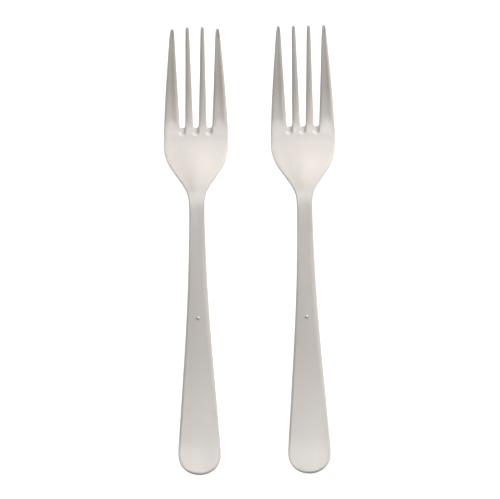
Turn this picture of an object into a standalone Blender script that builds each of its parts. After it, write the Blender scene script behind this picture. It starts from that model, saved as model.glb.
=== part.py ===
"""A pair of identical moulded plastic forks, lying face up side by side.

Units are metres. +Y runs from the handle ends to the tine tips, +X to the right and +Z up, and
the origin is on the table under the middle of the pair.

Each fork is one moulding. A cage of quads is laid over half of its plan and bent to its side
profile, then mirrored, thickened and rounded by subdivision. The gate mark is joined on, and the
scoops at the slot ends and the flats that the fork rests on are cut.
"""

import math

import bmesh
import bpy
from mathutils import Matrix

# Lengths along the fork
FORK_LENGTH = 0.1800
HANDLE_ROUND = 0.0078  # reach of the half ellipse that ends the handle
HANDLE_BACK = 1.7 * HANDLE_ROUND  # the first straight row of the handle
NECK_LENGTH = 0.0058
CREST_LEAD = 0.0044  # from the middle of the neck to the highest place
SHOULDER_LENGTH = 0.0202  # from the neck to the widest place
HEAD_LENGTH = 0.0495  # from the widest place to the tips
SLOT_DEPTH = 0.0408

# Widths across the fork
HANDLE_WIDTH = 0.0175
NECK_WIDTH = 0.0063
HEAD_WIDTH = 0.0262
HANDLE_TAPER = 0.071  # slope of the handle's side where its rounded end begins
HEAD_TAPER = 0.085  # slope of the head's side at the tips
RIM_WIDTH = 0.0016  # outermost strip, which the rounded edge takes up

# Tines and slots
TIP_WIDTH = 0.00150
TIP_PITCH = 0.00605
TIP_ROUND = 0.0010
SLOT_WIDTH = 0.0021  # at the root of a slot
SLOT_PITCH = 0.0054  # between the roots of the slots
SLOT_ROUND = 0.0019

# Heights of the underside over the table
HANDLE_LIFT = 0.0011  # of the very end of the handle
HANDLE_REST = 0.0160  # from the end of the handle to where it rests
HANDLE_DROP = 0.00020  # makes up for what the rounding takes off the low of the handle
HANDLE_SWEEP = 0.0300  # length over which the handle turns up from its rest
CREST_HEIGHT = 0.0074  # at the front of the neck
CREST_BEND = 0.0042
BOWL_REST = 0.0429  # from the tips to where the bowl rests
BOWL_DROP = 0.00010  # makes up for what the rounding takes off the low of the bowl
TINE_BEND = 0.0175
TIP_HEIGHT = 0.0099

# Thicknesses
HANDLE_THICKNESS = 0.0021
NECK_THICKNESS = 0.0031
BOWL_THICKNESS = 0.0019
TIP_THICKNESS = 0.0013

# Relief of the upper face
HANDLE_RIM_RISE = 0.00012
HANDLE_CROWN = 0.00016
NECK_TROUGH = 0.00011
BOWL_RIM_RISE = 0.00012
BOWL_CROWN = 0.00085
CROWN_REACH = 1.0  # share of the half width that the crown or the trough takes up

# Small features
GATE_PLACE = 0.0629  # from the end of the handle
GATE_RADIUS = 0.0010
GATE_HEIGHT = 0.00042
SCOOP_LENGTH = 0.0032  # past the end of the slot
SCOOP_DEPTH = 0.0009
SCOOP_SIDE = 0.00025  # how far a scoop is wider than its slot, on each side
SCOOP_RISE = 0.3  # height of a scoop cutter's centre over the face, as a share of its depth
SCOOP_STRETCH = 1.15  # keeps the scoop's full width up to the end of the slot
REST_SINK = 0.00010  # how much of the underside the resting flats take off
TABLE_MARGIN = 0.010  # how far the table block reaches past the fork, and its depth

# The pair on the table
HANDLE_SPACING = 0.0441  # between the two handle ends
LEFT_TURN = math.radians(0.65)
RIGHT_TURN = math.radians(1.17)
LEFT_BACK = 0.0006  # how far the left fork lies behind the right one

# Rows of the cage in each stretch of the fork
ROUND_ROW_COUNT = 3
HANDLE_ROW_COUNT = 4
SHOULDER_ROW_COUNT = 7
BOWL_ROW_COUNT = 2
TINE_ROW_COUNT = 4

# Places along the fork that follow from the sizes
HEAD_START = FORK_LENGTH - HEAD_LENGTH
NECK_END = HEAD_START - SHOULDER_LENGTH
NECK_START = NECK_END - NECK_LENGTH
SLOT_ROOT = FORK_LENGTH - SLOT_DEPTH
BOWL_LOW = FORK_LENGTH - BOWL_REST
NECK_MIDDLE = NECK_START + NECK_LENGTH / 2
CREST = NECK_MIDDLE + CREST_LEAD
HANDLE_MIDDLE = NECK_START / 2
RIM_PLACE = HEAD_START - SHOULDER_LENGTH / 3  # where the bowl's rims are highest
TIP_OUTER = 1.5 * TIP_PITCH + TIP_WIDTH / 2

COLUMN_COUNT = 9  # lines of the half cage, from the centre to the outline
CENTRE_SLOT_COLUMNS = (0,)
OUTER_SLOT_COLUMNS = (3, 4)
DIAGONAL = math.sqrt(0.5)
NUDGE = 0.0001  # tells a row past the slots' roots from the row at them


def smooth(share):
    """Ease from 0 to 1."""
    share = min(max(share, 0.0), 1.0)
    return share * share * (3.0 - 2.0 * share)


def mix(start, end, share):
    return start + (end - start) * share


def along_knots(place, knots):
    """Cubic through knots of (place, value, slope)."""
    for (start, low, rise), (end, high, fall) in zip(knots, knots[1:]):
        if place <= end:
            break
    span = end - start
    t = min(max((place - start) / span, 0.0), 1.0)
    ease = smooth(t)
    return mix(low, high, ease) + span * t * (1 - t) * ((1 - t) * rise - t * fall)


def along_stations(place, stations):
    """Eased value between stations of (place, value)."""
    for (start, low), (end, high) in zip(stations, stations[1:]):
        if place <= end:
            break
    return mix(low, high, smooth((place - start) / (end - start)))


def half_width(place):
    """Half of the fork's width, this far from the end of the handle."""
    if place < HANDLE_ROUND:
        back = (HANDLE_ROUND - place) / HANDLE_ROUND
        return HANDLE_WIDTH / 2 * math.sqrt(1 - back * back)
    return along_knots(
        place,
        [
            (HANDLE_ROUND, HANDLE_WIDTH / 2, -HANDLE_TAPER),
            (NECK_START, NECK_WIDTH / 2, 0.0),
            (NECK_END, NECK_WIDTH / 2, 0.0),
            (HEAD_START, HEAD_WIDTH / 2, 0.0),
            (FORK_LENGTH, TIP_OUTER, -HEAD_TAPER),
        ],
    )


def underside(place):
    """Height of the underside: straight runs of the handle and the tines, joined by bends."""
    rest = HANDLE_REST
    end_slope = -2 * HANDLE_LIFT / rest
    handle_run = CREST - rest - (HANDLE_SWEEP + CREST_BEND) / 2
    handle_slope = CREST_HEIGHT / handle_run
    tine_slope = TIP_HEIGHT / (FORK_LENGTH - BOWL_LOW - TINE_BEND / 2)
    return along_knots(
        place,
        [
            (0.0, HANDLE_LIFT, end_slope),
            (rest, -HANDLE_DROP, 0.0),
            (rest + HANDLE_SWEEP, handle_slope * HANDLE_SWEEP / 2, handle_slope),
            (CREST - CREST_BEND, CREST_HEIGHT - handle_slope * CREST_BEND / 2, handle_slope),
            (CREST, CREST_HEIGHT, 0.0),
            (BOWL_LOW, -BOWL_DROP, 0.0),
            (BOWL_LOW + TINE_BEND, tine_slope * TINE_BEND / 2, tine_slope),
            (FORK_LENGTH, TIP_HEIGHT, tine_slope),
        ],
    )


def thickness(place):
    return along_stations(
        place,
        [
            (0.0, HANDLE_THICKNESS),
            (HANDLE_MIDDLE, HANDLE_THICKNESS),
            (NECK_MIDDLE, NECK_THICKNESS),
            (HEAD_START, BOWL_THICKNESS),
            (SLOT_ROOT, BOWL_THICKNESS),
            (FORK_LENGTH, TIP_THICKNESS),
        ],
    )


def relief(place, share):
    """Rise of the upper face, share of the way from the centre line to the outline."""
    rim = along_stations(
        place,
        [
            (0.0, HANDLE_RIM_RISE),
            (HANDLE_MIDDLE, 0.0),
            (NECK_END, 0.0),
            (RIM_PLACE, BOWL_RIM_RISE),
            (SLOT_ROOT, 0.0),
            (FORK_LENGTH, 0.0),
        ],
    )
    crown = along_stations(
        place,
        [
            (0.0, 0.0),
            (HANDLE_MIDDLE, HANDLE_CROWN),
            (NECK_MIDDLE, -NECK_TROUGH),
            (RIM_PLACE, BOWL_CROWN),
            (SLOT_ROOT, 0.0),
            (FORK_LENGTH, 0.0),
        ],
    )
    return rim * share**4 + crown * (1 - smooth(share / CROWN_REACH))


def upper_face(place, across):
    share = abs(across) / half_width(max(place, HANDLE_ROUND / 2))
    return underside(place) + thickness(place) + relief(place, min(share, 1.0))


def slot_edges(place):
    """Edges of the centre slot and of the outer slot, half widths from the centre line."""
    reach = max((place - SLOT_ROOT) / SLOT_DEPTH, 0.0)
    return (
        mix(SLOT_WIDTH / 2, (TIP_PITCH - TIP_WIDTH) / 2, reach),
        mix(SLOT_PITCH - SLOT_WIDTH / 2, (TIP_PITCH + TIP_WIDTH) / 2, reach),
        mix(SLOT_PITCH + SLOT_WIDTH / 2, 1.5 * TIP_PITCH - TIP_WIDTH / 2, reach),
    )


def columns(place):
    """The half cage's lines across the fork, from the centre line to the outline."""
    width = half_width(place)
    centre, inner, outer = slot_edges(place)
    rim = min(RIM_WIDTH, (width - outer) / 3) if place >= SLOT_ROOT else min(RIM_WIDTH, width / 3)
    lines = [0.0, centre, (centre + inner) / 2, inner, (inner + outer) / 2, outer]
    if place < SLOT_ROOT:
        root_width = half_width(SLOT_ROOT) - RIM_WIDTH
        lines = [line * (width - rim) / root_width for line in lines]
        lines.append(mix(lines[-1], width - rim, RIM_WIDTH / (root_width - outer)))
    else:
        lines.append(outer + rim)
    return lines + [width - rim, width]


def spread(start, end, count):
    return [mix(start, end, step / count) for step in range(1, count + 1)]


def cage_rows():
    """Rows of cage points as (across, along) pairs, from the end of the handle to the tips."""
    rows = []
    corner = HANDLE_ROUND * (1 - DIAGONAL)
    for step in range(ROUND_ROW_COUNT + 1):
        angle = mix(math.pi / 4, math.pi / 2, step / (ROUND_ROW_COUNT - 1))
        edge = HANDLE_ROUND * (1 - math.cos(angle)) if step < ROUND_ROW_COUNT else HANDLE_BACK
        sag = corner * (1 - step / (ROUND_ROW_COUNT + 1))
        row = []
        for line in columns(edge):
            share = line / half_width(edge)
            bow = (1 - math.sqrt(1 - share * share / 2)) / (1 - DIAGONAL)
            row.append((line, edge - sag * (1 - bow)))
        rows.append(row)
    places = spread(HANDLE_BACK, NECK_START - CREST_BEND, HANDLE_ROW_COUNT)
    places += [NECK_START]
    places += spread(NECK_START, HEAD_START, SHOULDER_ROW_COUNT)
    places += spread(HEAD_START, SLOT_ROOT, BOWL_ROW_COUNT)
    places += [SLOT_ROOT + SLOT_ROUND]
    places += spread(SLOT_ROOT + SLOT_ROUND, FORK_LENGTH - TIP_ROUND, TINE_ROW_COUNT)
    places += [FORK_LENGTH]
    rows += [[(line, place) for line in columns(place)] for place in places]
    return rows


def cage_mesh():
    """Half of the fork's upper face, with a vertex group that holds its thickness."""
    rows = cage_rows()
    work = bmesh.new()
    layer = work.verts.layers.deform.verify()
    grid = []
    for row in rows:
        line = []
        for across, along in row:
            vertex = work.verts.new((across, along, upper_face(along, across)))
            vertex[layer][0] = thickness(along) / NECK_THICKNESS
            line.append(vertex)
        grid.append(line)
    slots = CENTRE_SLOT_COLUMNS + OUTER_SLOT_COLUMNS
    for near, far, row in zip(grid, grid[1:], rows[1:]):
        open_row = row[0][1] > SLOT_ROOT + NUDGE
        for column in range(COLUMN_COUNT - 1):
            if open_row and column in slots:
                continue
            work.faces.new((near[column], near[column + 1], far[column + 1], far[column]))
    loose = [vertex for vertex in work.verts if not vertex.link_faces]
    bmesh.ops.delete(work, geom=loose, context="VERTS")
    mesh = bpy.data.meshes.new("fork_cage")
    work.to_mesh(mesh)
    work.free()
    mesh.shade_smooth()
    return mesh


def scoop_mesh():
    """Three rounded cutters that hollow the upper face behind the slots."""
    work = bmesh.new()
    reach = SCOOP_LENGTH + SLOT_ROUND
    for side in (-1, 0, 1):
        middle = SLOT_ROOT - SCOOP_LENGTH + reach / 2
        face = upper_face(SLOT_ROOT - SCOOP_LENGTH / 2, side * SLOT_PITCH)
        half = (SLOT_WIDTH / 2 + SCOOP_SIDE, SCOOP_STRETCH * reach / 2, SCOOP_DEPTH * (1 + SCOOP_RISE))
        size = Matrix.Diagonal((*half, 1))
        place = Matrix.Translation((side * SLOT_PITCH, middle, face + SCOOP_DEPTH * SCOOP_RISE))
        bmesh.ops.create_uvsphere(work, u_segments=16, v_segments=8, radius=1.0, matrix=place @ size)
    mesh = bpy.data.meshes.new("scoop_cutters")
    work.to_mesh(mesh)
    work.free()
    return mesh


def gate_mesh():
    """The low round mark that the moulding gate leaves."""
    work = bmesh.new()
    size = Matrix.Diagonal((GATE_RADIUS, GATE_RADIUS, GATE_HEIGHT, 1))
    place = Matrix.Translation((0, GATE_PLACE, upper_face(GATE_PLACE, 0)))
    bmesh.ops.create_uvsphere(work, u_segments=12, v_segments=6, radius=1.0, matrix=place @ size)
    mesh = bpy.data.meshes.new("gate_mark")
    work.to_mesh(mesh)
    work.free()
    return mesh


def table_mesh():
    """A block under the table's surface, which cuts the resting flats."""
    work = bmesh.new()
    room = 2 * TABLE_MARGIN
    size = Matrix.Diagonal((HEAD_WIDTH + room, FORK_LENGTH + room, TABLE_MARGIN, 1))
    place = Matrix.Translation((0, FORK_LENGTH / 2, REST_SINK - TABLE_MARGIN / 2))
    bmesh.ops.create_cube(work, size=1.0, matrix=place @ size)
    mesh = bpy.data.meshes.new("table_cutter")
    work.to_mesh(mesh)
    work.free()
    return mesh


def plastic():
    """Warm off-white matte plastic."""
    material = bpy.data.materials.new("moulded_plastic")
    material.use_nodes = True
    shader = material.node_tree.nodes["Principled BSDF"]
    shader.inputs["Base Color"].default_value = (0.72, 0.67, 0.62, 1)
    shader.inputs["Roughness"].default_value = 0.45
    shader.inputs["Metallic"].default_value = 0.0
    return material


def new_collection(name):
    collection = bpy.data.collections.new(name)
    bpy.context.scene.collection.children.link(collection)
    return collection


def add_helper(mesh, name, fork, collection):
    """A shape that a Boolean of the fork uses, carried by the fork."""
    helper = bpy.data.objects.new(name, mesh)
    helper.parent = fork
    helper.hide_render = True
    helper.display_type = "WIRE"
    collection.objects.link(helper)
    return helper


def add_boolean(fork, helper, operation):
    cut = fork.modifiers.new(helper.name, "BOOLEAN")
    cut.operation = operation
    cut.object = helper


def add_fork(name, meshes, place, turn, collection, helpers):
    """One fork: the shared half cage with its own modifiers, turned and laid on the table."""
    fork = bpy.data.objects.new(name, meshes["cage"])
    collection.objects.link(fork)
    fork.location = (place[0], place[1], -REST_SINK)
    fork.rotation_euler = (0, 0, turn)
    fork.vertex_groups.new(name="thickness")

    mirror = fork.modifiers.new("mirror", "MIRROR")
    mirror.merge_threshold = 0.00001

    wall = fork.modifiers.new("wall", "SOLIDIFY")
    wall.thickness = NECK_THICKNESS
    wall.offset = -1
    wall.vertex_group = "thickness"

    rounding = fork.modifiers.new("rounding", "SUBSURF")
    rounding.levels = 1
    rounding.render_levels = 1

    add_boolean(fork, add_helper(meshes["gate"], name + "_gate", fork, helpers), "UNION")
    add_boolean(fork, add_helper(meshes["scoops"], name + "_scoops", fork, helpers), "DIFFERENCE")
    add_boolean(fork, add_helper(meshes["table"], name + "_table", fork, helpers), "DIFFERENCE")
    return fork


def build():
    for item in list(bpy.data.objects):
        bpy.data.objects.remove(item)
    collection = new_collection("plastic_forks")
    helpers = new_collection("cutters")
    meshes = {"cage": cage_mesh(), "scoops": scoop_mesh(), "gate": gate_mesh(), "table": table_mesh()}
    meshes["cage"].materials.append(plastic())

    # The turns carry the heads to the left and the right fork's last tip forward
    sway = HEAD_START * (math.sin(LEFT_TURN) + math.sin(RIGHT_TURN)) / 2
    reach = FORK_LENGTH * math.cos(RIGHT_TURN) + 1.5 * TIP_PITCH * math.sin(RIGHT_TURN)
    back = (LEFT_BACK + reach) / 2
    left_place = (sway - HANDLE_SPACING / 2, -back)
    right_place = (sway + HANDLE_SPACING / 2, LEFT_BACK - back)
    add_fork("left_fork", meshes, left_place, LEFT_TURN, collection, helpers)
    add_fork("right_fork", meshes, right_place, RIGHT_TURN, collection, helpers)


build()
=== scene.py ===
"""The pair of plastic forks, seen straight from above on a pale floor in soft studio light.

Units are metres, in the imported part's frame: +Y runs from the handle ends to the tine tips and
the table is at z = 0. Each packed fork is replaced by a finer skin of the same form. Its sizes are
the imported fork's, apart from small changes to the neck and the head. The skin adds the small
shapes of the moulding: the scoops behind the slots, the softened edges, the hollows along the
outer tines and the gate mark.
"""

import math

import bmesh
import bpy
from mathutils import Matrix, Vector


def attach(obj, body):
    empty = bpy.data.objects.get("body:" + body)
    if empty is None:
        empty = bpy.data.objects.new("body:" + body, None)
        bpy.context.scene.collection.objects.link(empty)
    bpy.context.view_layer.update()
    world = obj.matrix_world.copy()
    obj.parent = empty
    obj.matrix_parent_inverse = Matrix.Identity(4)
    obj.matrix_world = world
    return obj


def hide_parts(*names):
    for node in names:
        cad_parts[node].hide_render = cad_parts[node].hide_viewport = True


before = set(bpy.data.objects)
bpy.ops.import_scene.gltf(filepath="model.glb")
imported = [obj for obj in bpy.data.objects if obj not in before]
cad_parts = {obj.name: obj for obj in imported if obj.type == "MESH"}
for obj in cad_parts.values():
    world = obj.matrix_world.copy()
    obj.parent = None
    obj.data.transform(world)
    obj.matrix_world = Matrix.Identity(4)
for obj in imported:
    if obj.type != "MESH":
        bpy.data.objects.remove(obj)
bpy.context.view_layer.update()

# Lengths along the fork
FORK_LENGTH = 0.1800
HANDLE_ROUND = 0.0078  # reach of the half ellipse that ends the handle
HANDLE_BACK = 1.7 * HANDLE_ROUND  # the first straight row of the handle
NECK_LENGTH = 0.0055
CREST_LEAD = 0.0046  # from the middle of the neck to the highest place
SHOULDER_LENGTH = 0.0202  # from the neck to the widest place
HEAD_LENGTH = 0.0498  # from the widest place to the tips
SLOT_DEPTH = 0.0408

# Widths across the fork
HANDLE_WIDTH = 0.0175
NECK_WIDTH = 0.0063
HEAD_WIDTH = 0.02605
HANDLE_TAPER = 0.071  # slope of the handle's side where its rounded end begins
HEAD_TAPER = 0.085  # slope of the head's side at the tips
RIM_WIDTH = 0.0016  # outermost strip, which the rounded edge takes up

# Tines and slots
TIP_WIDTH = 0.00150
TIP_PITCH = 0.00605
TIP_ROUND = 0.0010
SLOT_WIDTH = 0.0021  # at the root of a slot
SLOT_PITCH = 0.0054  # between the roots of the slots
SLOT_ROUND = 0.0019

# Heights of the underside over the table
HANDLE_LIFT = 0.0011  # of the very end of the handle
HANDLE_REST = 0.0160  # from the end of the handle to where it rests
HANDLE_DROP = 0.00020  # makes up for what the rounding takes off the low of the handle
HANDLE_SWEEP = 0.0300  # length over which the handle turns up from its rest
CREST_HEIGHT = 0.0074  # of the highest place, just past the neck
CREST_BEND = 0.0042  # length over which the underside levels off before the highest place
BOWL_REST = 0.0429  # from the tips to where the bowl rests
BOWL_DROP = 0.00010  # makes up for what the rounding takes off the low of the bowl
TINE_BEND = 0.0175  # length over which the bowl turns up into the tines
TIP_HEIGHT = 0.00975
REST_SINK = 0.00010  # how much of the underside the resting flats take off

# Thicknesses
HANDLE_THICKNESS = 0.0021
NECK_THICKNESS = 0.0031
BOWL_THICKNESS = 0.0019
TIP_THICKNESS = 0.0013

# Relief of the upper face
HANDLE_RIM_RISE = 0.00012
HANDLE_CROWN = 0.00016
NECK_TROUGH = 0.00011
BOWL_RIM_RISE = 0.00012
BOWL_CROWN = 0.00085
CROWN_REACH = 1.0  # share of the half width that the crown or the trough takes up

# Gate mark on the handle
GATE_PLACE = 0.0629  # from the end of the handle
GATE_RADIUS = 0.0010
GATE_HEIGHT = 0.00042
GATE_RING_COUNT = 8
GATE_SIDE_COUNT = 24

# Scoops behind the slots
SCOOP_LENGTH = 0.0037  # from the end of the slot towards the handle
SCOOP_END = 0.0020  # length of a scoop's rounded end
SCOOP_LEFT = 0.0021  # reach of a scoop to the left of the slot's middle
SCOOP_RIGHT = 0.0016
SCOOP_DEPTH = 0.00055
SCOOP_WALL = 0.85  # share of the scoop's reach that its wall takes up

# Softened edges of the upper face
LEFT_REACH = 0.0005  # how far the softening reaches inwards from a left edge
LEFT_SHARE = 0.06  # the most of the width that it takes up
RIGHT_REACH = 0.0022
TINE_RIGHT_REACH = 0.0014
RIGHT_SHARE = 0.6
EDGE_SLOPE = 0.65  # of the softened edges at the outline
EDGE_PASSING = 0.0200  # before the neck, from where the softening passes off
EDGE_COMING = 0.0060  # past the slot ends, over which it comes in again
EDGE_AT_END = 0.15  # share of the softening at the end of the handle
EDGE_AT_REST = 0.2  # and where the handle rests
EDGE_AT_MIDDLE = 0.8  # and in the middle of the handle
EDGE_AT_NECK = 0.1  # and where the neck ends

# Rounded sides, whose drop from the upper face is counted in thicknesses
DROP_START = 0.02  # drop that is left as it is
HALF_DOWN = 0.5  # further drop over which the rounding is made less
EDGE_KEPT = 0.2  # share of the drop that is kept near the upper edge
END_KEPT = 0.5  # the same at the end of the handle
UPPER_DROP = 0.1  # drop down to which the small shapes have their full depth
UPPER_PASSING = 0.5  # further drop over which they pass off

# Tips and outer tines
TIP_REACH = 0.0060  # length of a tine over which its tip is drawn back
TIP_POINT = 0.0006  # how much further the sides of a tip are drawn back than its middle
TIPS_BACK = {"left_fork": (0.0006, 0.0013), "right_fork": (0.0005, 0.0005)}  # inner, outer
TINE_TROUGH = 0.00015  # depth of the hollow along the outer tines
TROUGH_REACH = 0.8  # share of the tine's half width that the hollow takes up
TROUGH_COMING = 0.0037  # past the slot ends, over which the hollow comes in

# The pair on the table
HANDLE_SPACING = 0.0441  # between the two handle ends
LEFT_TURN = math.radians(0.65)
RIGHT_TURN = math.radians(1.17)
LEFT_BACK = 0.0006  # how far the left fork lies behind the right one

# Rows of the cage in each stretch of the fork
ROUND_ROW_COUNT = 3
HANDLE_ROW_COUNT = 4
SHOULDER_ROW_COUNT = 7
BOWL_ROW_COUNT = 7
TINE_ROW_COUNT = 4

# Making the skin from the cage
ROUNDING_LEVELS = 3
MERGE_DISTANCE = 0.00001

# Places along the fork that follow from the sizes
HEAD_START = FORK_LENGTH - HEAD_LENGTH
NECK_END = HEAD_START - SHOULDER_LENGTH
NECK_START = NECK_END - NECK_LENGTH
SLOT_ROOT = FORK_LENGTH - SLOT_DEPTH
BOWL_LOW = FORK_LENGTH - BOWL_REST
NECK_MIDDLE = NECK_START + NECK_LENGTH / 2
CREST = NECK_MIDDLE + CREST_LEAD
HANDLE_MIDDLE = NECK_START / 2
RIM_PLACE = HEAD_START - SHOULDER_LENGTH / 3  # where the bowl's rims are highest

# Places across the fork
TIP_MIDDLE = 1.5 * TIP_PITCH  # of an outer tine, from the centre line
TIP_OUTER = TIP_MIDDLE + TIP_WIDTH / 2

# The half cage's lines along the fork, and the strips between them that the slots leave open
COLUMN_COUNT = 9
CENTRE_SLOT_COLUMNS = (0,)
OUTER_SLOT_COLUMNS = (3, 4)

DIAGONAL = math.sqrt(0.5)  # cosine of 45 degrees
NUDGE = 0.0001  # tells a place from one right beside it

# The photograph's view
VIEW_WIDTH = 0.2004  # what the frame takes in at the table
VIEW_CENTRE = (0.00009, 0.0)
CAMERA_HEIGHT = 4.0
SENSOR_WIDTH = 36.0

# The studio
FLOOR_SIZE = 6.0
WHITE = (1.0, 1.0, 1.0, 1)
WORLD_STRENGTH = 0.02
SOFTBOX_DISTANCE = 1.5
SOFTBOX_SIZE = 0.45
SOFTBOXES = {  # azimuth and elevation in degrees, and watts
    "key": (45, 15, 27.0),
    "key_left": (10, 15, 6.2),
    "low_fill": (315, 12, 11.8),
    "overhead": (0, 88, 6.4),
    "back": (0, 58, 2.5),
    "right_fill": (90, 58, 2.8),
    "right_low": (65, 44, 2.9),
    "left_fill": (270, 60, 1.6),
}

# Finishes, with colours in linear values and noises in blotches to the metre
PLASTIC_DARK = (0.455, 0.4225, 0.392, 1)
PLASTIC_LIGHT = (0.475, 0.4405, 0.409, 1)
PLASTIC_SHADER = {
    "IOR": 1.55,
    "Specular IOR Level": 1.0,
    "Subsurface Weight": 0.15,
    "Subsurface Radius": (0.0012, 0.0010, 0.0008),
    "Subsurface Scale": 1.0,
}
SMOOTHEST = 0.36  # roughness
ROUGHEST = 0.42
FLOW_NOISE = 160
FLOW_STRETCH = (1, 0.2, 1)
CLOUD_NOISE = 45
GRAIN_NOISE = 1800
GRAIN_HEIGHT = 0.00002
GRAIN_STRENGTH = 0.25
FLOOR_DARK = (0.33, 0.33, 0.33, 1)
FLOOR_LIGHT = (0.37, 0.37, 0.37, 1)
FLOOR_SHADER = {
    "Roughness": 0.9,
    "Specular IOR Level": 0.0,
    "Emission Color": WHITE,
    "Emission Strength": 0.85,
}
FLOOR_NOISE = 40
NOISE_MIDDLE = 0.5
NOISE_SPREAD = 0.2  # how far most of a noise strays from its middle

# The Mix node's sockets for colours
MIX_FIRST = 6
MIX_SECOND = 7
MIX_RESULT = 2


def smooth(share):
    """Ease from 0 to 1."""
    share = min(max(share, 0.0), 1.0)
    return share * share * (3.0 - 2.0 * share)


def mix(start, end, share):
    """Value this share of the way from start to end."""
    return start + (end - start) * share


def along_knots(place, knots):
    """Cubic through knots of (place, value, slope)."""
    for (start, low, rise), (end, high, fall) in zip(knots, knots[1:]):
        if place <= end:
            break
    span = end - start
    share = min(max((place - start) / span, 0.0), 1.0)
    rest = 1 - share
    return mix(low, high, smooth(share)) + span * share * rest * (rest * rise - share * fall)


def along_stations(place, stations):
    """Eased value between stations of (place, value)."""
    for (start, low), (end, high) in zip(stations, stations[1:]):
        if place <= end:
            break
    return mix(low, high, smooth((place - start) / (end - start)))


def half_width(place):
    """Half of the fork's width, this far from the end of the handle."""
    if place < HANDLE_ROUND:
        back = (HANDLE_ROUND - place) / HANDLE_ROUND
        return HANDLE_WIDTH / 2 * math.sqrt(1 - back * back)
    return along_knots(
        place,
        [
            (HANDLE_ROUND, HANDLE_WIDTH / 2, -HANDLE_TAPER),
            (NECK_START, NECK_WIDTH / 2, 0.0),
            (NECK_END, NECK_WIDTH / 2, 0.0),
            (HEAD_START, HEAD_WIDTH / 2, 0.0),
            (FORK_LENGTH, TIP_OUTER, -HEAD_TAPER),
        ],
    )


def underside(place):
    """Height of the underside: straight runs of the handle and the tines, joined by bends."""
    rest = HANDLE_REST
    end_slope = -2 * HANDLE_LIFT / rest
    handle_run = CREST - rest - (HANDLE_SWEEP + CREST_BEND) / 2
    handle_slope = CREST_HEIGHT / handle_run
    tine_slope = TIP_HEIGHT / (FORK_LENGTH - BOWL_LOW - TINE_BEND / 2)
    return along_knots(
        place,
        [
            (0.0, HANDLE_LIFT, end_slope),
            (rest, -HANDLE_DROP, 0.0),
            (rest + HANDLE_SWEEP, handle_slope * HANDLE_SWEEP / 2, handle_slope),
            (CREST - CREST_BEND, CREST_HEIGHT - handle_slope * CREST_BEND / 2, handle_slope),
            (CREST, CREST_HEIGHT, 0.0),
            (BOWL_LOW, -BOWL_DROP, 0.0),
            (BOWL_LOW + TINE_BEND, tine_slope * TINE_BEND / 2, tine_slope),
            (FORK_LENGTH, TIP_HEIGHT, tine_slope),
        ],
    )


def thickness(place):
    """Thickness of the fork, this far from the end of the handle."""
    return along_stations(
        place,
        [
            (0.0, HANDLE_THICKNESS),
            (HANDLE_MIDDLE, HANDLE_THICKNESS),
            (NECK_MIDDLE, NECK_THICKNESS),
            (HEAD_START, BOWL_THICKNESS),
            (SLOT_ROOT, BOWL_THICKNESS),
            (FORK_LENGTH, TIP_THICKNESS),
        ],
    )


def relief(place, share):
    """Rise of the upper face, this share of the way from the centre line to the outline."""
    rim = along_stations(
        place,
        [
            (0.0, HANDLE_RIM_RISE),
            (HANDLE_MIDDLE, 0.0),
            (NECK_END, 0.0),
            (RIM_PLACE, BOWL_RIM_RISE),
            (SLOT_ROOT, 0.0),
            (FORK_LENGTH, 0.0),
        ],
    )
    crown = along_stations(
        place,
        [
            (0.0, 0.0),
            (HANDLE_MIDDLE, HANDLE_CROWN),
            (NECK_MIDDLE, -NECK_TROUGH),
            (RIM_PLACE, BOWL_CROWN),
            (SLOT_ROOT, 0.0),
            (FORK_LENGTH, 0.0),
        ],
    )
    return rim * share**4 + crown * (1 - smooth(share / CROWN_REACH))


def upper_face(place, across):
    """Height of the upper face, without the small shapes."""
    share = abs(across) / half_width(max(place, HANDLE_ROUND / 2))
    return underside(place) + thickness(place) + relief(place, min(share, 1.0))


def slot_edges(place):
    """Distances from the centre line of the centre slot's edge and the outer slot's two edges."""
    reach = max((place - SLOT_ROOT) / SLOT_DEPTH, 0.0)
    return (
        mix(SLOT_WIDTH / 2, (TIP_PITCH - TIP_WIDTH) / 2, reach),
        mix(SLOT_PITCH - SLOT_WIDTH / 2, (TIP_PITCH + TIP_WIDTH) / 2, reach),
        mix(SLOT_PITCH + SLOT_WIDTH / 2, TIP_MIDDLE - TIP_WIDTH / 2, reach),
    )


def columns(place):
    """Distances of the half cage's lines from the centre line, out to the outline."""
    width = half_width(place)
    centre, inner, outer = slot_edges(place)
    room = width - outer if place >= SLOT_ROOT else width
    rim = min(RIM_WIDTH, room / 3)
    lines = [0.0, centre, (centre + inner) / 2, inner, (inner + outer) / 2, outer]
    if place < SLOT_ROOT:
        root_width = half_width(SLOT_ROOT) - RIM_WIDTH
        lines = [line * (width - rim) / root_width for line in lines]
        lines.append(mix(lines[-1], width - rim, RIM_WIDTH / (root_width - outer)))
    else:
        lines.append(outer + rim)
    return lines + [width - rim, width]


def spread(start, end, count):
    """Evenly spaced places after the start, up to the end."""
    return [mix(start, end, step / count) for step in range(1, count + 1)]


def round_rows():
    """Rows at the end of the handle, which bow back with its ellipse, less from row to row."""
    rows = []
    corner = HANDLE_ROUND * (1 - DIAGONAL)
    for step in range(ROUND_ROW_COUNT + 1):
        angle = mix(math.pi / 4, math.pi / 2, step / (ROUND_ROW_COUNT - 1))
        edge = HANDLE_ROUND * (1 - math.cos(angle)) if step < ROUND_ROW_COUNT else HANDLE_BACK
        sag = corner * (1 - step / (ROUND_ROW_COUNT + 1))
        row = []
        for line in columns(edge):
            share = line / half_width(edge)
            bow = (1 - math.sqrt(1 - share * share / 2)) / (1 - DIAGONAL)
            row.append((line, edge - sag * (1 - bow)))
        rows.append(row)
    return rows


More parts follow.
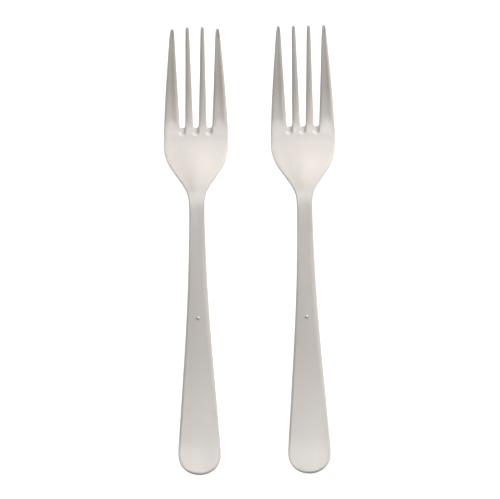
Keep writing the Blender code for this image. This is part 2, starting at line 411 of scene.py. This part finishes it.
def straight_rows():
    """Rows from the handle to the tips, each at one place along the fork."""
    places = spread(HANDLE_BACK, NECK_START - CREST_BEND, HANDLE_ROW_COUNT)
    places.append(NECK_START)
    places += spread(NECK_START, HEAD_START, SHOULDER_ROW_COUNT)
    places += spread(HEAD_START, SLOT_ROOT, BOWL_ROW_COUNT)
    places.append(SLOT_ROOT + SLOT_ROUND)
    places += spread(SLOT_ROOT + SLOT_ROUND, FORK_LENGTH - TIP_ROUND, TINE_ROW_COUNT)
    places.append(FORK_LENGTH)
    return [[(line, place) for line in columns(place)] for place in places]


def cage_mesh():
    """Half of the fork's upper face, with a vertex group that holds its thickness."""
    rows = round_rows() + straight_rows()  # of (across, along) pairs
    work = bmesh.new()
    layer = work.verts.layers.deform.verify()
    grid = []
    for row in rows:
        line = []
        for across, along in row:
            vertex = work.verts.new((across, along, upper_face(along, across)))
            vertex[layer][0] = thickness(along) / NECK_THICKNESS
            line.append(vertex)
        grid.append(line)
    slots = CENTRE_SLOT_COLUMNS + OUTER_SLOT_COLUMNS
    for near, far, row in zip(grid, grid[1:], rows[1:]):
        open_row = row[0][1] > SLOT_ROOT + NUDGE
        for column in range(COLUMN_COUNT - 1):
            if open_row and column in slots:
                continue
            work.faces.new((near[column], near[column + 1], far[column + 1], far[column]))
    loose = [vertex for vertex in work.verts if not vertex.link_faces]
    bmesh.ops.delete(work, geom=loose, context="VERTS")
    mesh = bpy.data.meshes.new("fork_cage")
    work.to_mesh(mesh)
    work.free()
    return mesh


def rounded_mesh(cage):
    """The whole fork: the cage mirrored, given its thickness and rounded by subdivision."""
    carrier = bpy.data.objects.new("fork_carrier", cage)
    bpy.context.scene.collection.objects.link(carrier)
    carrier.vertex_groups.new(name="thickness")
    mirror = carrier.modifiers.new("mirror", "MIRROR")
    mirror.merge_threshold = MERGE_DISTANCE
    wall = carrier.modifiers.new("wall", "SOLIDIFY")
    wall.thickness = NECK_THICKNESS
    wall.offset = -1
    wall.vertex_group = "thickness"
    rounding = carrier.modifiers.new("rounding", "SUBSURF")
    rounding.levels = ROUNDING_LEVELS
    rounding.render_levels = ROUNDING_LEVELS
    shaped = carrier.evaluated_get(bpy.context.evaluated_depsgraph_get())
    mesh = bpy.data.meshes.new_from_object(shaped)
    bpy.data.objects.remove(carrier)
    return mesh


def scoop_drop(place, across):
    """Depth of the scoops behind the slot ends."""
    slot = min(max(round(across / SLOT_PITCH), -1), 1)  # -1 on the left, 0 or 1
    aside = across - slot * SLOT_PITCH
    behind = max(SLOT_ROOT - SCOOP_LENGTH + SCOOP_END - place, 0.0)
    reach = SCOOP_RIGHT if aside > 0 else SCOOP_LEFT
    distance = math.hypot(behind / SCOOP_END, aside / reach)
    fade = 1 - smooth((place - SLOT_ROOT) / SLOT_ROUND)
    return SCOOP_DEPTH * smooth((1 - distance) / SCOOP_WALL) * fade


def margins(place, across):
    """Distances to the left and the right edge of the tine or the body that the place is on."""
    width = half_width(max(place, NUDGE))
    edges = [-width, width]
    if place > SLOT_ROOT:
        inner_edges = slot_edges(place)
        edges = [-width] + [-edge for edge in reversed(inner_edges)] + list(inner_edges) + [width]
    pairs = list(zip(edges[::2], edges[1::2]))
    left, right = min(pairs, key=lambda pair: abs(across - (pair[0] + pair[1]) / 2))
    return across - left, right - across


def softened(distance, reach):
    """Drop of a softened edge this far inside the outline."""
    inwards = min(max(distance / reach, 0.0), 1.0)
    return EDGE_SLOPE * reach / 2 * (1 - inwards) ** 2


def edge_drop(place, across):
    """How far the upper face falls away towards its edges, along the handle and the tines."""
    left, right = margins(place, across)
    width = left + right
    left_drop = softened(left, min(LEFT_REACH, LEFT_SHARE * width))
    right_reach = TINE_RIGHT_REACH if place > SLOT_ROOT else RIGHT_REACH
    right_drop = softened(right, min(right_reach, RIGHT_SHARE * width))
    part = along_stations(
        place,
        [
            (0.0, EDGE_AT_END),
            (HANDLE_REST, EDGE_AT_REST),
            (HANDLE_MIDDLE, EDGE_AT_MIDDLE),
            (NECK_START - EDGE_PASSING, 1.0),
            (NECK_END, EDGE_AT_NECK),
            (HEAD_START, 0.0),
            (SLOT_ROOT, 0.0),
            (SLOT_ROOT + EDGE_COMING, 1.0),
        ],
    )
    return part * (left_drop + right_drop)


def sharper(place, drop):
    """Drop of a rounded side from the upper face, made less until half way down."""
    more = min(max(drop - DROP_START, 0.0), HALF_DOWN)
    kept = mix(END_KEPT, EDGE_KEPT, smooth(place / HANDLE_ROUND))
    return drop - (1 - kept) * more * (1 - smooth(more / HALF_DOWN))


def trough_drop(place, across):
    """Depth of the hollow along the outer tines."""
    outer = slot_edges(place)[2]
    width = half_width(place)
    off_middle = abs(abs(across) - (outer + width) / 2) / ((width - outer) / 2)
    inside = 1 - smooth(off_middle / TROUGH_REACH)
    return TINE_TROUGH * inside * smooth((place - SLOT_ROOT) / TROUGH_COMING)


def finish_shape(mesh):
    """Adds the small shapes to the upper side and flattens the places that the fork rests on."""
    for vertex in mesh.vertices:
        across, along, height = vertex.co
        top = upper_face(along, across)
        fall = (top - height) / thickness(along)
        height = top - sharper(along, fall) * thickness(along)
        upper = 1 - smooth((fall - UPPER_DROP) / UPPER_PASSING)
        drop = edge_drop(along, across)
        if along > HEAD_START:
            drop += scoop_drop(along, across) + trough_drop(along, across)
        vertex.co.z = max(height - upper * drop, REST_SINK) - REST_SINK


def tips_drawn(mesh, inner_back, outer_back):
    """Copy of the fork with rounded tips, drawn back by so much on the inner and outer tines."""
    mesh = mesh.copy()
    for vertex in mesh.vertices:
        across, along = vertex.co.xy
        share = smooth((along - FORK_LENGTH) / TIP_REACH + 1)
        if share == 0:
            continue
        centre, inner, outer = slot_edges(along)
        if abs(across) > (inner + outer) / 2:
            low, high, back = outer, half_width(along), outer_back
        else:
            low, high, back = centre, inner, inner_back
        off_middle = (2 * abs(across) - low - high) / (high - low)
        vertex.co.y -= share * (back + TIP_POINT * min(off_middle**2, 1.0))
    return mesh


def gate_mesh():
    """The low round mark that the moulding gate leaves on the handle."""
    work = bmesh.new()
    top = work.verts.new((0, GATE_PLACE, upper_face(GATE_PLACE, 0) + GATE_HEIGHT - REST_SINK))
    last = []
    for ring in range(1, GATE_RING_COUNT + 1):
        reach = GATE_RADIUS * ring / GATE_RING_COUNT
        rise = GATE_HEIGHT * (1 - smooth(ring / GATE_RING_COUNT)) - REST_SINK
        circle = []
        for side in range(GATE_SIDE_COUNT):
            angle = math.tau * side / GATE_SIDE_COUNT
            across = reach * math.cos(angle)
            along = GATE_PLACE + reach * math.sin(angle)
            circle.append(work.verts.new((across, along, upper_face(along, across) + rise)))
        for side in range(GATE_SIDE_COUNT):
            after = (side + 1) % GATE_SIDE_COUNT
            if last:
                work.faces.new((last[side], circle[side], circle[after], last[after]))
            else:
                work.faces.new((top, circle[side], circle[after]))
        last = circle
    mesh = bpy.data.meshes.new("gate_mark")
    work.to_mesh(mesh)
    work.free()
    return mesh


def new_finish(name, values):
    """A material with the shader's own values set, and with its tree, shader and place output."""
    material = bpy.data.materials.new(name)
    material.use_nodes = True
    tree = material.node_tree
    shader = tree.nodes["Principled BSDF"]
    for socket, value in values.items():
        shader.inputs[socket].default_value = value
    place = tree.nodes.new("ShaderNodeTexCoord").outputs["Object"]
    return material, tree, shader, place


def add_noise(tree, place, scale, detail, stretch=(1, 1, 1)):
    """Noise of so many blotches to the metre, drawn out along an axis where stretch is under 1."""
    mapping = tree.nodes.new("ShaderNodeMapping")
    mapping.inputs["Scale"].default_value = stretch
    noise = tree.nodes.new("ShaderNodeTexNoise")
    noise.inputs["Scale"].default_value = scale
    noise.inputs["Detail"].default_value = detail
    tree.links.new(place, mapping.inputs["Vector"])
    tree.links.new(mapping.outputs["Vector"], noise.inputs["Vector"])
    return noise.outputs["Fac"]


def add_range(tree, noise, low, high):
    """Maps the middle of a noise to a range."""
    node = tree.nodes.new("ShaderNodeMapRange")
    node.inputs["From Min"].default_value = NOISE_MIDDLE - NOISE_SPREAD
    node.inputs["From Max"].default_value = NOISE_MIDDLE + NOISE_SPREAD
    node.inputs["To Min"].default_value = low
    node.inputs["To Max"].default_value = high
    tree.links.new(noise, node.inputs["Value"])
    return node.outputs["Result"]


def add_tint(tree, shader, noise, dark, light):
    """Lets the base colour go from dark to light with a noise."""
    tint = tree.nodes.new("ShaderNodeMix")
    tint.data_type = "RGBA"
    tint.inputs[MIX_FIRST].default_value = dark
    tint.inputs[MIX_SECOND].default_value = light
    tree.links.new(add_range(tree, noise, 0, 1), tint.inputs["Factor"])
    tree.links.new(tint.outputs[MIX_RESULT], shader.inputs["Base Color"])


def plastic():
    """Warm off-white matte plastic with faint flow marks and a fine moulded grain."""
    material, tree, shader, place = new_finish("moulded_plastic", PLASTIC_SHADER)
    flow = add_noise(tree, place, FLOW_NOISE, detail=3, stretch=FLOW_STRETCH)
    cloud = add_noise(tree, place, CLOUD_NOISE, detail=2)
    grain = add_noise(tree, place, GRAIN_NOISE, detail=2)
    add_tint(tree, shader, cloud, PLASTIC_DARK, PLASTIC_LIGHT)
    tree.links.new(add_range(tree, flow, SMOOTHEST, ROUGHEST), shader.inputs["Roughness"])

    bump = tree.nodes.new("ShaderNodeBump")
    bump.inputs["Strength"].default_value = GRAIN_STRENGTH
    bump.inputs["Distance"].default_value = GRAIN_HEIGHT
    tree.links.new(grain, bump.inputs["Height"])
    tree.links.new(bump.outputs["Normal"], shader.inputs["Normal"])
    return material


def floor_finish():
    """White sweep that stays white under the forks' soft shadows."""
    material, tree, shader, place = new_finish("white_sweep", FLOOR_SHADER)
    cloud = add_noise(tree, place, FLOOR_NOISE, detail=3)
    add_tint(tree, shader, cloud, FLOOR_DARK, FLOOR_LIGHT)
    return material


def add_piece(name, mesh, material, place, turn):
    """A finished piece of a fork, laid on the table beside the other fork."""
    mesh.transform(Matrix.Translation((place[0], place[1], 0)) @ Matrix.Rotation(turn, 4, "Z"))
    piece = bpy.data.objects.new(name, mesh)
    bpy.context.scene.collection.objects.link(piece)
    mesh.materials.clear()
    mesh.materials.append(material)
    mesh.shade_smooth()
    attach(piece, "root")
    return piece


def add_forks():
    """Both forks, each in its packed fork's place."""
    skin = rounded_mesh(cage_mesh())
    finish_shape(skin)
    gate = gate_mesh()
    material = plastic()

    # The forks lean to the left, so both are moved to the right until the heads lie evenly
    sway = HEAD_START * (math.sin(LEFT_TURN) + math.sin(RIGHT_TURN)) / 2
    reach = FORK_LENGTH * math.cos(RIGHT_TURN) + TIP_MIDDLE * math.sin(RIGHT_TURN)
    back = (LEFT_BACK + reach) / 2
    places = {
        "left_fork": ((sway - HANDLE_SPACING / 2, -back), LEFT_TURN),
        "right_fork": ((sway + HANDLE_SPACING / 2, LEFT_BACK - back), RIGHT_TURN),
    }
    for name, (place, turn) in places.items():
        fork = add_piece(name + "_skin", tips_drawn(skin, *TIPS_BACK[name]), material, place, turn)
        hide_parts(name)
        add_piece(name + "_gate_mark", gate.copy(), material, place, turn)


def add_floor():
    """The pale floor that the forks lie on."""
    bpy.ops.mesh.primitive_plane_add(size=FLOOR_SIZE)
    floor = bpy.context.object
    floor.name = "floor"
    floor.data.materials.append(floor_finish())


def add_softbox(name, azimuth, elevation, watts):
    """Square area light that faces the origin. Azimuth 0 is +Y and 90 is +X."""
    around = math.radians(azimuth)
    up = math.radians(elevation)
    level = math.cos(up)
    direction = Vector((math.sin(around) * level, math.cos(around) * level, math.sin(up)))
    data = bpy.data.lights.new(name, "AREA")
    data.shape = "SQUARE"
    data.size = SOFTBOX_SIZE
    data.energy = watts
    light = bpy.data.objects.new(name, data)
    bpy.context.scene.collection.objects.link(light)
    light.location = direction * SOFTBOX_DISTANCE
    light.rotation_euler = direction.to_track_quat("Z", "Y").to_euler()
    light.visible_camera = False


def add_light():
    """Softboxes from all sides, and a faint even light from the world."""
    for name, (azimuth, elevation, watts) in SOFTBOXES.items():
        add_softbox(name, azimuth, elevation, watts)
    world = bpy.data.worlds.new("studio")
    bpy.context.scene.world = world
    world.use_nodes = True
    sky = world.node_tree.nodes["Background"]
    sky.inputs["Color"].default_value = WHITE
    sky.inputs["Strength"].default_value = WORLD_STRENGTH


def add_camera():
    """Long lens straight above the forks, which takes in the photograph's frame."""
    data = bpy.data.cameras.new("camera")
    data.sensor_width = SENSOR_WIDTH
    data.lens = SENSOR_WIDTH * CAMERA_HEIGHT / VIEW_WIDTH
    data.clip_end = 3 * CAMERA_HEIGHT
    camera = bpy.data.objects.new("camera", data)
    camera.location = (VIEW_CENTRE[0], VIEW_CENTRE[1], CAMERA_HEIGHT)
    bpy.context.scene.collection.objects.link(camera)
    bpy.context.scene.camera = camera


add_forks()
add_floor()
add_light()
add_camera()
bpy.context.scene.view_settings.view_transform = "Standard"
